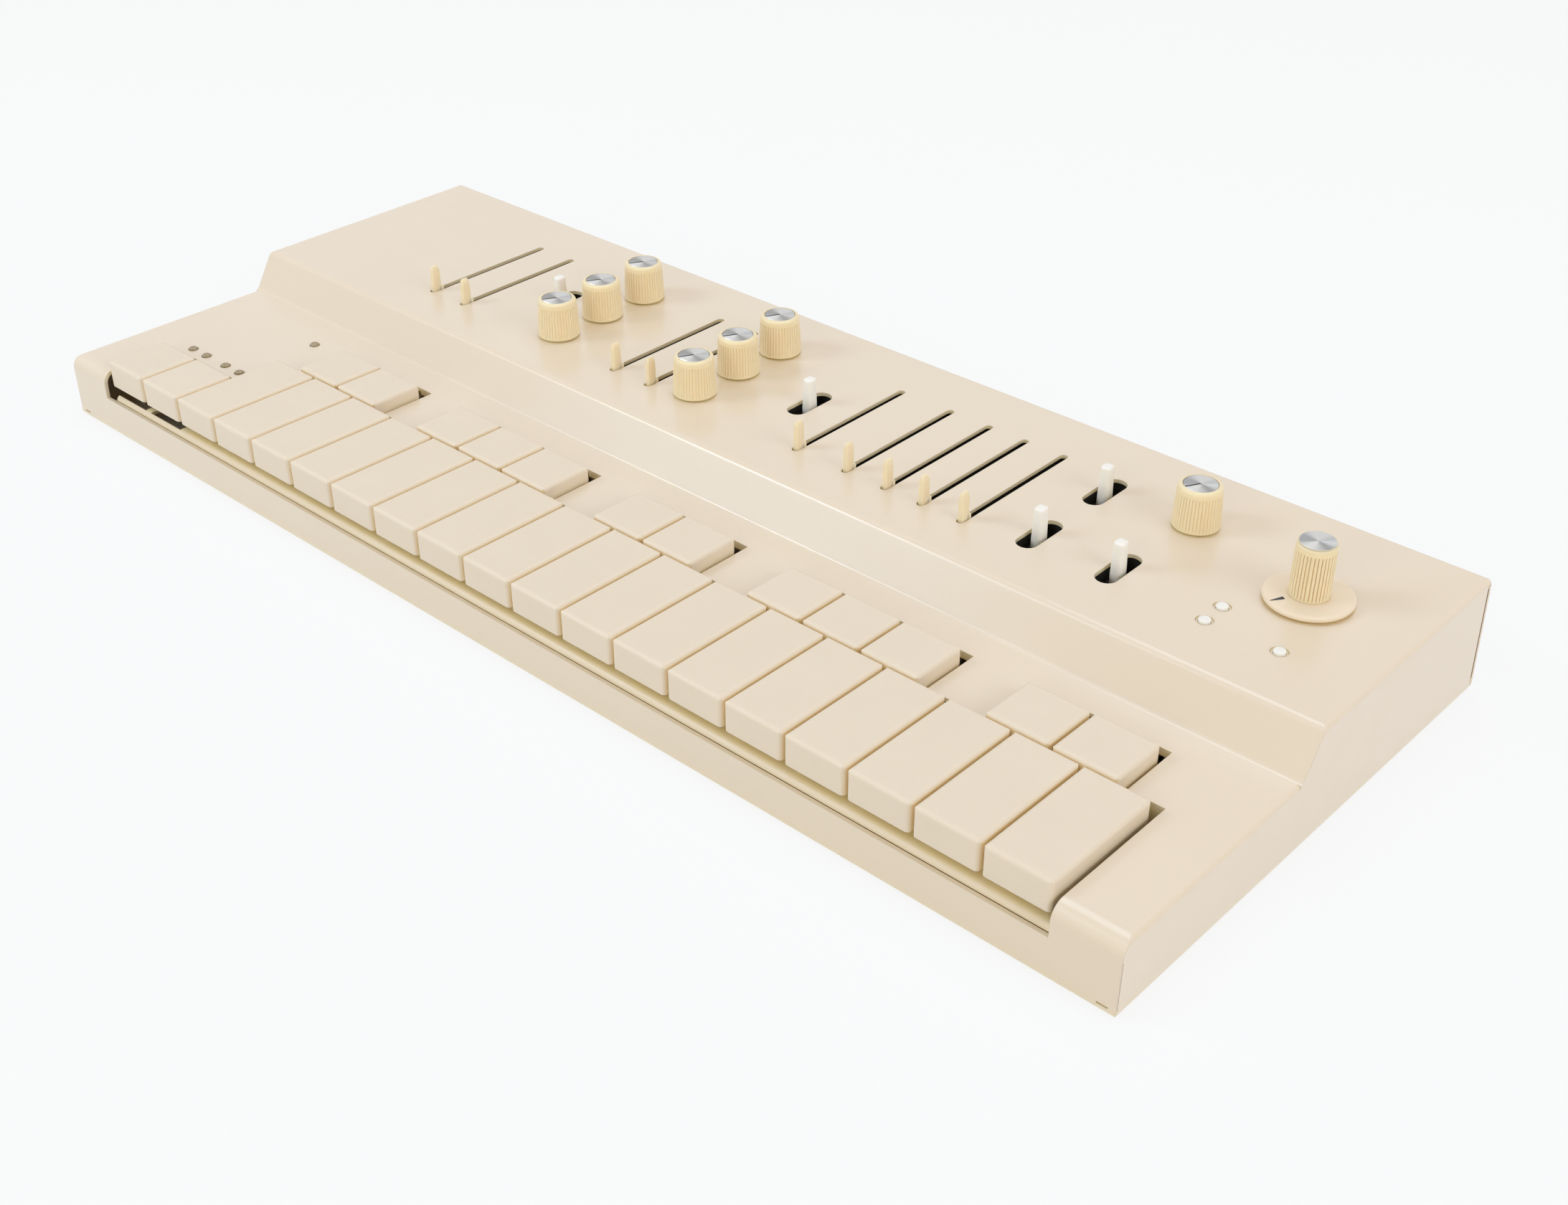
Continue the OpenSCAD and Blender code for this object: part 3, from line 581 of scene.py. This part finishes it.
def knob_mesh(base_r, top_r, foot, top, flute_count, flute_depth, flute_foot, band):
    """A fluted body on a shaft, with a plain band, a rounded rim, and a seat for the disc in its top."""
    bm = bmesh.new()
    steps = flute_count * 10
    groove = flutes(flute_count, flute_depth)
    bulge, edge, run_in, run_out = 0.25, 0.3, 0.25, 0.3
    seat_gap, seat_edge, seat_lip = 0.05, 0.1, 0.02

    def radius(z):
        t = (z - foot) / (top - foot)
        return base_r + (top_r - base_r) * t + bulge * t * (1 - t)

    rows = [(r, z, None) for r, z in arc((radius(foot) - edge, foot + edge), edge, -90, 0, 4)]
    rows.append((radius(flute_foot), flute_foot, None))
    rows += [(radius(z), z, groove) for z in (flute_foot + run_in, (flute_foot + band) / 2, band - run_out)]
    rows.append((radius(band), band, None))
    rows += [(r, z, None) for r, z in arc((radius(top) - RIM_R, top - RIM_R), RIM_R, 0, 90, 8)]
    rows.append((DISC_R + seat_edge, top - seat_lip, None))
    rows += [(DISC_R + seat_gap, top - DISC_SEAT, None), (0, top - DISC_SEAT, None)]
    shaft = [circle(SHAFT_R, -SHAFT_DEPTH, steps), circle(SHAFT_R, foot, steps)]
    loft(bm, shaft + [circle(r, z, steps, shape) for r, z, shape in rows])
    return bm


def disc_mesh(top):
    """The turned disc, with a chamfered edge and a slight dish."""
    bottom, shoulder, rim = top - 0.34, top - 0.12, top + 0.02
    chamfer = 0.15
    dish = ((0.66, 0.01), (0.33, 0.03), (0, 0.04))
    profile = [(0, bottom), (DISC_R, bottom), (DISC_R, shoulder), (DISC_R - chamfer, rim)]
    return lathe_mesh(profile + [(DISC_R * share, top - depth) for share, depth in dish], 96)


def pointer_mesh(top):
    """The filled groove from the middle of the disc to its edge."""
    along = DISC_R - 0.1
    broad, narrow = 0.3, 0.18
    sunk, proud = 0.3, 0.035
    outline = [(0, -narrow), (along, -broad), (along, broad), (0, narrow)]
    return prism_mesh(outline, top - sunk, top + proud)


def knob_set(node, body_bm, top):
    place = panel_seat(node)
    body = piece(f"{node}_body", body_bm, KNOB_PLASTIC, node, place, sharp=30)
    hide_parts(node)
    piece(f"{node}_disc", disc_mesh(top), ALUMINIUM, node, place, sharp=20)
    return place


for number in range(1, KNOB_COUNT + 1):
    node = f"knob_{number}"
    body_bm = knob_mesh(KNOB_BASE_R, KNOB_TOP_R, KNOB_GAP, KNOB_H, KNOB_FLUTES, KNOB_FLUTE_DEPTH,
                        KNOB_FLUTE_FOOT, KNOB_BAND)
    place = knob_set(node, body_bm, KNOB_H)
    piece(f"{node}_pointer", pointer_mesh(KNOB_H), INK, node, place @ turned(POINTER_ANGLE))


def skirt_mesh():
    """The round plate under the tuning knob, with rounded edges."""
    edge = SKIRT_T / 2
    profile = [(0, KNOB_GAP), (SKIRT_R - edge, KNOB_GAP)]
    profile += arc((SKIRT_R - edge, KNOB_GAP + edge), edge, -90, 90, 10)
    # The rings just outside and inside the knob keep the shading of the flat top even
    profile += [(radius, SKIRT_TOP) for radius in (TUNING_R + 1.5, TUNING_R - 1, 0)]
    return lathe_mesh(profile, 128)


def wedge_mesh():
    """The black wedge on the skirt, with its point outwards."""
    near, far = 7.3, 11.3
    broad, point = 0.65, 0.12
    sunk, proud = 0.2, 0.03
    outline = [(near, -broad), (far, -point), (far, point), (near, broad)]
    return prism_mesh(outline, SKIRT_TOP - sunk, SKIRT_TOP + proud)


body_bm = knob_mesh(TUNING_R, TUNING_R - TUNING_TAPER, KNOB_GAP + TUNING_SINK, TUNING_H, TUNING_FLUTES,
                    TUNING_FLUTE_DEPTH, SKIRT_TOP + TUNING_PLAIN_FOOT, TUNING_H - TUNING_BAND_W)
place = knob_set("tuning_knob", body_bm, TUNING_H)
piece("tuning_knob_skirt", skirt_mesh(), SKIRT_PLASTIC, "tuning_knob", place)
piece("tuning_knob_wedge", wedge_mesh(), INK, "tuning_knob", place @ turned(POINTER_ANGLE))


# Faders

def fader_mesh():
    """A blade that narrows to a rounded ridge, on a foot that trails behind it."""
    bm = bmesh.new()
    # Rows are (width, length, corner radius, height)
    ridge = ((1.75, 3.1, 0.45, 6.8), (1.5, 2.9, 0.5, 7.8), (1.05, 2.6, 0.45, 8.45), (0.5, 2.1, 0.22, FADER_H))
    foot = ((1.7, 1.9, 0.3, -FADER_DEPTH), (1.7, 1.9, 0.3, 0.9), (1.3, 1.5, 0.3, 1.2))
    blade_heights = (-FADER_DEPTH, 0, 1.4, 5.5)
    blade = [rounded_rectangle(FADER_W, FADER_L, FADER_EDGE, z) for z in blade_heights]
    loft(bm, blade + [rounded_rectangle(*row) for row in ridge])
    foot_rings = [rounded_rectangle(*row) for row in foot]
    loft(bm, [[(x, y + FADER_FOOT_BACK, z) for x, y, z in ring] for ring in foot_rings])
    return bm


for number in range(1, FADER_COUNT + 1):
    node = f"fader_{number}"
    place = panel_seat(node)
    lever = piece(f"{node}_lever", fader_mesh(), LEVER_PLASTIC, node, place, sharp=50)
    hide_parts(node)


# Toggles

def toggle_mesh():
    """A soft-edged lever that narrows a little to its nearly flat top."""
    bm = bmesh.new()
    bottom, foot, shoulder = -1.4, -0.6, TOGGLE_PIVOT - 1
    dome, dome_steps, dome_step_degrees, flatness = 0.7, 10, 9.8, 0.4
    dome_foot = TOGGLE_PIVOT + TOGGLE_H - dome
    sections = [oval(*TOGGLE_BOTTOM, bottom), oval(*TOGGLE_BASE, foot), oval(*TOGGLE_BASE, shoulder)]
    for k in range(dome_steps):
        turn = math.radians(dome_step_degrees * k)
        shrink = math.cos(turn) ** flatness
        width, length = (size * shrink for size in TOGGLE_TIP)
        sections.append(oval(width, length, dome_foot + dome * math.sin(turn)))
    loft(bm, sections)
    return bm


def pin_across_mesh(steps=24, chamfer=0.2):
    """The cross pin of a toggle, along X, with chamfered ends."""
    bm = bmesh.new()
    inner, thin = TOGGLE_PIN_HALF - chamfer, TOGGLE_PIN_R - chamfer
    ends = ((-TOGGLE_PIN_HALF, thin), (-inner, TOGGLE_PIN_R), (inner, TOGGLE_PIN_R), (TOGGLE_PIN_HALF, thin))
    loft(bm, [[(x, y, z) for y, z, _ in circle(radius, 0, steps)] for x, radius in ends])
    return bm


for number in range(1, TOGGLE_COUNT + 1):
    node = f"toggle_{number}"
    place = panel_seat(node)
    lever = piece(f"{node}_lever", toggle_mesh(), WHITE_PLASTIC, node, place, sharp=40)
    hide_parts(node)
    piece(f"{node}_pin", pin_across_mesh(), BLACK, node, place)


# Buttons

def button_mesh():
    """A plunger with a soft-edged, slightly domed head and a flange below the panel."""
    edge, crown, crown_r = 0.25, 0.05, 0.9
    flange_top = -SHEET_T - SHEET_GAP
    flange_low = flange_top - BUTTON_FLANGE
    flange_r = BUTTON_R + BUTTON_FLANGE
    profile = [(0, -BUTTON_DEPTH), (BUTTON_R, -BUTTON_DEPTH), (BUTTON_R, flange_low), (flange_r, flange_low),
               (flange_r, flange_top), (BUTTON_R, flange_top)]
    profile += arc((BUTTON_R - edge, BUTTON_H - edge - crown), edge, 0, 80, 5)
    return lathe_mesh(profile + [(crown_r, BUTTON_H - 0.01), (0, BUTTON_H)], 48)


for number in range(1, BUTTON_COUNT + 1):
    node = f"button_{number}"
    place = panel_seat(node)
    head = piece(f"{node}_head", button_mesh(), WHITE_PLASTIC, node, place, sharp=40)
    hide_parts(node)
    bezel_bm = ring_mesh(BUTTON_R + BEZEL_GAP, BUTTON_HOLE_R - BEZEL_FIT, SHEET_T - BEZEL_SINK, chamfer=0.1)
    piece(f"{node}_bezel", bezel_bm, PAINT, CASE, place @ raised(-SHEET_T))


# Lamp lenses over the lamps in the deck

def lens_mesh():
    """A domed lens with a straight wall that fills most of its hole."""
    profile = [(0, -LENS_DEPTH), (LENS_R, -LENS_DEPTH), (LENS_R, -0.1)]
    for degrees in range(10, 90, 10):
        turn = math.radians(degrees)
        profile.append((LENS_R * math.cos(turn), LENS_DOME * math.sin(turn)))
    return lathe_mesh(profile + [(0, LENS_DOME + 0.01)], 40)


for number, (x, y) in enumerate(LAMPS, 1):
    piece(f"lamp_lens_{number}", lens_mesh(), LENS, CASE, deck_seat(x, y), sharp=50)


# Tabs bent down at the open ends of the key slots, beside the arms of the last keys

def tab_mesh(width, drop, soft=0.3):
    """A strip under the deck with soft edges; its near face is at y = 0 and it runs along X from 0."""
    bm = bmesh.new()
    section = [(0, -SHEET_T), (SHEET_T, -SHEET_T), (SHEET_T, soft - drop), (SHEET_T - soft, -drop),
               (soft, -drop), (0, soft - drop)]
    loft(bm, [[(x, y, z) for y, z in section] for x in (0, width)])
    return bm


def last_of_group(number):
    """Whether no sharp key follows within one pitch."""
    key, after = f"sharp_key_{number:02d}", f"sharp_key_{number + 1:02d}"
    if after not in nodes:
        return True
    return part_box(after)[0][0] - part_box(key)[1][0] > KEY_GAP * 2 * MM


last_sharps = [f"sharp_key_{n:02d}" for n in range(1, SHARP_COUNT + 1) if last_of_group(n)]
slot_corners = [(node, KEY_GAP, SHARP_SLOT_END, SHARP_TAB_DROP) for node in last_sharps]
slot_corners.append((LAST_NATURAL, ROW_END_GAP, NATURAL_SLOT_END, NATURAL_TAB_DROP))
for node, gap, slot_end, drop in slot_corners:
    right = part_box(node)[1][0] / MM + gap
    place = deck_seat(right - TAB_W - ROW_LEFT, slot_end)
    piece(f"{node}_slot_tab", tab_mesh(TAB_W, drop), PAN_PAINT, CASE, place)


# Painted shade in the joints of the sheet: dark strips along the ledge, beside the rear wall, and at the two
# front corners

def ledge_joint_mesh(length):
    """A dark strip of painted shade at the bottom of the groove between the front wall and the ledge's rolled
    edge, rising along X.
    """
    bm = bmesh.new()
    wall = DECK_FRONT[0] + SHEET_T
    depth, left_drop, right_drop = 0.5, 0.15, 0.02

    def rolled(z):
        rise = z - LEDGE_TOP + LEDGE_R
        return wall + SHEET_GAP + LEDGE_R - math.sqrt(LEDGE_R ** 2 - rise ** 2)

    def section(x, drop):
        low, high = LIP_TOP - depth, LIP_TOP - drop
        return [(x, y, z) for y, z in ((wall, low), (rolled(low), low), (rolled(high), high), (wall, high))]

    loft(bm, [section(0, left_drop), section(length, right_drop)])
    return bm


def seam_mesh(width, length):
    """A thin strip with rounded ends, in the XY plane."""
    bm = bmesh.new()
    sunk, proud = 0.05, 0.015
    round_r = min(width, length) * 0.45
    loft(bm, [rounded_rectangle(width, length, round_r, z) for z in (-sunk, proud)])
    return bm


def side_seam(name, side, points, width):
    """A strip of painted shade along a joint on a side of the case (1 right, -1 left), from a low to a high
    point.
    """
    start, end = (Vector((side * CASE_W / 2, *point)) * MM for point in points)
    out = Vector((side, 0, 0))
    up = (end - start).normalized()
    turn = Matrix((up.cross(out), up, out)).transposed().to_4x4()
    place = Matrix.Translation((start + end) / 2) @ turn
    piece(name, seam_mesh(width, (end - start).length / MM), JOINT_SHADE, CASE, place)


ledge_left = ROW_LEFT - ROW_END_GAP + LEDGE_INSET
ledge_length = ROW_END_GAP - ROW_LEFT - ledge_left
piece("ledge_joint", ledge_joint_mesh(ledge_length), JOINT_SHADE, CASE,
      Matrix.Translation((ledge_left * MM, 0, 0)))
for side, word in ((1, "right"), (-1, "left")):
    side_seam(f"rear_joint_{word}", side, REAR_JOINT, REAR_JOINT_W)
    side_seam(f"front_joint_{word}", side, FRONT_JOINT, FRONT_JOINT_W)
    # Painted shade: a dark strip fills the slit at each front corner
    slit = Vector((side * SLIT_X, DECK_FRONT[0] + SHEET_T / 2, SLIT_Z)) * MM
    place = seat(slit, (0, -1, 0))
    piece(f"corner_slit_shade_{word}", seam_mesh(SLIT_L, SLIT_H), JOINT_SHADE, CASE, place)


# Rear sockets: nuts, contacts and pins round the bores of the CAD

def pin_mesh(radius, length):
    """A round pin with a domed end."""
    return lathe_mesh([(0, 0), (radius, 0)] + arc((0, length - radius), radius, 0, 85, 6) + [(0, length)], 24)


for name in ("jack_1", "jack_2"):
    mouth = socket_seat(name)
    washer_t = JACK_WASHER[2]
    piece(f"{name}_washer", ring_mesh(*JACK_WASHER, chamfer=0.15), STEEL, CASE, mouth)
    piece(f"{name}_nut", ring_mesh(*JACK_NUT, sides=6), STEEL, CASE, mouth @ raised(washer_t))
mouth = socket_seat("control_socket")
piece("control_socket_ring", ring_mesh(*CONTROL_RING, chamfer=0.25), STEEL, CASE, mouth)
contact_place = Matrix.Translation((CONTACT_CIRCLE_R * MM, 0, -CONTACT_DEPTH * MM))
for k in range(CONTACT_COUNT):
    piece(f"control_socket_contact_{k + 1}", ring_mesh(*CONTACT, chamfer=0.1), STEEL, CASE,
          mouth @ turned(CONTACT_STEP * k) @ contact_place)
mouth = socket_seat("power_inlet")
piece("power_inlet_ring", ring_mesh(*INLET_RING, chamfer=0.2), BLACK, CASE, mouth)
piece("power_inlet_pin", pin_mesh(INLET_PIN_R, INLET_PIN_L), STEEL, CASE,
      mouth @ raised(-INLET_PIN_DEPTH))


# Screws through the floor, in line with the key rail

def screw_mesh():
    """A round head, with Z out of the floor."""
    head_r, rim = 2.6, 0.25
    crown = [(2.35, 0.55), (1.6, 0.75), (0.8, 0.82), (0, 0.84)]
    return lathe_mesh([(0, 0), (head_r, 0), (head_r, rim)] + crown, 40)


def recess_shade_mesh():
    """A black cross of painted shade on a screw head, standing for its recess."""
    arm, half = 1.35, 0.3
    outline = [(arm, -half), (arm, half), (half, half), (half, arm), (-half, arm), (-half, half),
               (-arm, half), (-arm, -half), (-half, -half), (-half, -arm), (half, -arm), (half, -half)]
    return prism_mesh(outline, 0.4, 0.86)


rail_low, rail_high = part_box("key_rail")
rail_y = (rail_low[1] + rail_high[1]) / 2
for number, x in enumerate(SCREW_X, 1):
    under = Matrix.Translation((x * MM, rail_y, SHEET_T * MM)) @ Matrix.Rotation(math.pi, 4, "X")
    piece(f"floor_screw_{number}", screw_mesh(), STEEL, CASE, under)
    # Painted shade: a black cross stands for the recess
    piece(f"floor_screw_{number}_cross", recess_shade_mesh(), BLACK, CASE, under)


# Stage, light and camera, in metres

FLOOR_HALF = 8
FLOOR_DROP = 0.0002
PAPER = (0.8, 0.8, 0.8, 1)
PAPER_GLOW = (0.98, 0.99, 1.0, 1)
GLOW_SHARE = 0.85
WARM_ROOM = (0.50, 0.38, 0.23, 1)
WHITE = (1, 1, 1, 1)
STRIP = {
    "place": (-0.76, -1.01, 0.82),
    "target": (0, 0, 0.02),
    "size": (0.5, 1.0),
    "color": (0.42, 0.69, 1.0),
}


def seen_directly(tree):
    """1 for camera, mirror and glass rays, which see the white background."""
    path = tree.nodes.new("ShaderNodeLightPath")
    total = path.outputs["Is Camera Ray"]
    for name in ("Is Glossy Ray", "Is Transmission Ray"):
        either = tree.nodes.new("ShaderNodeMath")
        either.operation = "MAXIMUM"
        tree.links.new(total, either.inputs[0])
        tree.links.new(path.outputs[name], either.inputs[1])
        total = either.outputs["Value"]
    return total


def floor_material():
    """White paper to the eye, which still takes a soft shadow."""
    material = bpy.data.materials.new("white_floor")
    material.use_nodes = True
    tree = material.node_tree
    tree.nodes.clear()
    paper = tree.nodes.new("ShaderNodeBsdfDiffuse")
    paper.inputs["Color"].default_value = PAPER
    glow = tree.nodes.new("ShaderNodeEmission")
    glow.inputs["Color"].default_value = PAPER_GLOW
    share = tree.nodes.new("ShaderNodeMath")
    share.operation = "MULTIPLY"
    share.inputs[1].default_value = GLOW_SHARE
    mix = tree.nodes.new("ShaderNodeMixShader")
    out = tree.nodes.new("ShaderNodeOutputMaterial")
    tree.links.new(seen_directly(tree), share.inputs[0])
    tree.links.new(share.outputs["Value"], mix.inputs["Fac"])
    tree.links.new(paper.outputs["BSDF"], mix.inputs[1])
    tree.links.new(glow.outputs["Emission"], mix.inputs[2])
    tree.links.new(mix.outputs["Shader"], out.inputs["Surface"])
    return material


def stage_plane():
    bm = bmesh.new()
    bmesh.ops.create_grid(bm, x_segments=1, y_segments=1, size=FLOOR_HALF)
    mesh = bpy.data.meshes.new("floor")
    bm.to_mesh(mesh)
    bm.free()
    mesh.materials.append(floor_material())
    floor = bpy.data.objects.new("floor", mesh)
    floor.location.z = -FLOOR_DROP
    bpy.context.scene.collection.objects.link(floor)


def world():
    """Warm light from all round, with a white background for the rays that see it directly."""
    studio = bpy.data.worlds.new("studio")
    bpy.context.scene.world = studio
    studio.use_nodes = True
    tree = studio.node_tree
    mix = tree.nodes.new("ShaderNodeMix")
    mix.data_type = "RGBA"
    mix.inputs["A"].default_value = WARM_ROOM
    mix.inputs["B"].default_value = WHITE
    tree.links.new(seen_directly(tree), mix.inputs["Factor"])
    tree.links.new(mix.outputs["Result"], tree.nodes["Background"].inputs["Color"])


def camera():
    """The photo's view, turned round a target on the keys."""
    azimuth, elevation, roll = (math.radians(angle) for angle in (42.138, 32.737, 0.497))
    target, distance = Vector((0.06182, -0.0299, 0.01676)), 0.52594
    sensor, photo_width, focal_px = 36, 2186, 2677.43
    back = Vector((math.sin(azimuth) * math.cos(elevation), -math.cos(azimuth) * math.cos(elevation),
                   math.sin(elevation)))
    right = Vector((math.cos(azimuth), math.sin(azimuth), 0))
    up = back.cross(right)
    level = Matrix((right, up, back)).transposed().to_4x4()
    data = bpy.data.cameras.new("photo_camera")
    data.sensor_width = sensor
    data.lens = sensor * focal_px / photo_width
    data.clip_start = 0.01
    view = bpy.data.objects.new("photo_camera", data)
    bpy.context.scene.collection.objects.link(view)
    view.matrix_world = Matrix.Translation(target + back * distance) @ level @ turned(roll)
    bpy.context.scene.camera = view


def area_light(name, place, target, size, watts, color, mirrored=True):
    """A soft box; one that isn't mirrored gives no glare on the satin sheet."""
    data = bpy.data.lights.new(name, "AREA")
    data.shape = "RECTANGLE"
    data.size, data.size_y = size
    data.energy = watts
    data.color = color
    light = bpy.data.objects.new(name, data)
    bpy.context.scene.collection.objects.link(light)
    aim = (Vector(target) - Vector(place)).to_track_quat("-Z", "Y").to_matrix().to_4x4()
    light.matrix_world = Matrix.Translation(place) @ aim
    light.visible_glossy = mirrored


stage_plane()
world()
camera()
area_light("glint_light", (-0.88, -0.765, 0.944), (0.03, 0, 0.03), (0.35, 0.35), 3.2, (0.85, 0.93, 1.0))
area_light("strip_light", watts=4.0, **STRIP)
area_light("strip_fill_light", watts=1.4, mirrored=False, **STRIP)
area_light("top_light", (0.0, 0.4, 1.5), (0, 0, 0), (1.2, 1.0), 9.2, (0.63, 0.80, 1.0))
area_light("side_light", (1.5, 0.0, 0.7), (0.1, 0, 0), (1.0, 0.8), 9.2, (0.76, 0.87, 1.0), mirrored=False)
area_light("front_light", (0.3, -1.5, 0.5), (0, 0, 0), (0.8, 0.6), 4.0, (0.94, 1.0, 0.92))
bpy.context.scene.view_settings.view_transform = "Standard"
